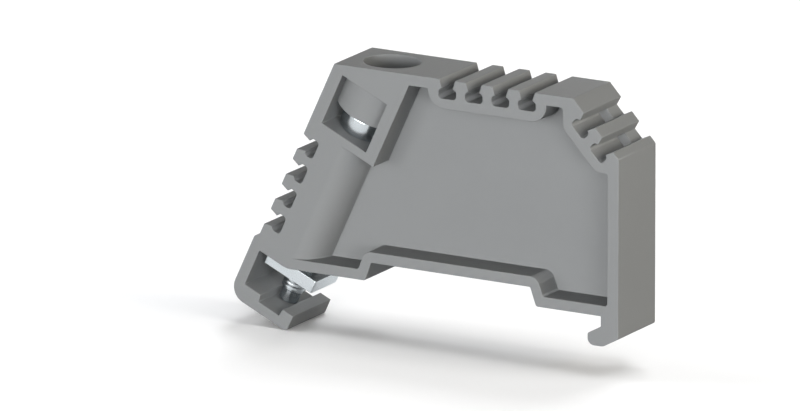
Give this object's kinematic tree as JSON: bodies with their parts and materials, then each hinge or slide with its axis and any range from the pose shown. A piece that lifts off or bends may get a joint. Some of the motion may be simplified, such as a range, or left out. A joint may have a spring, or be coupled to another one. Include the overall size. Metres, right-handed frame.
{
  "type": "din rail end clamp",
  "caption": "Grey moulded end clamp for a top-hat rail: a hooked leg, a tilted screw that draws up a clamping plate, and marker grooves.",
  "frame": {"origin": "on the rail's centre line, level with the top of its lips, at the middle of the clamp's thickness", "axes": "+X across the rail towards the hooked leg, +Y along the rail, +Z away from the rail"},
  "size_m": [0.0438, 0.0074, 0.028],
  "materials": {
    "grey_polyamide": "fine moulded texture",
    "plated_screw": "bright zinc plate",
    "plated_plate": "bright zinc plate"
  },
  "bodies": {
    "moulding": {"body": "grey_polyamide"},
    "screw": {"clamp_screw": "plated_screw"},
    "plate": {"clamp_plate": "plated_plate"}
  },
  "joints": [
    {"name": "plate_travel", "type": "slide", "parent": "moulding", "child": "plate", "axis": [-0.4195, 0, -0.9078], "range_m": [0, 0.00225]},
    {"name": "screw_turn", "type": "hinge", "parent": "moulding", "child": "screw", "pos_m": [-0.01823, 0, 0], "axis": [0.4195, 0, 0.9078], "range_deg": [0, 1800]}
  ],
  "couplings": [
    {"joint": "screw_turn", "follows": "plate_travel", "rad_per_m": 13963}
  ]
}
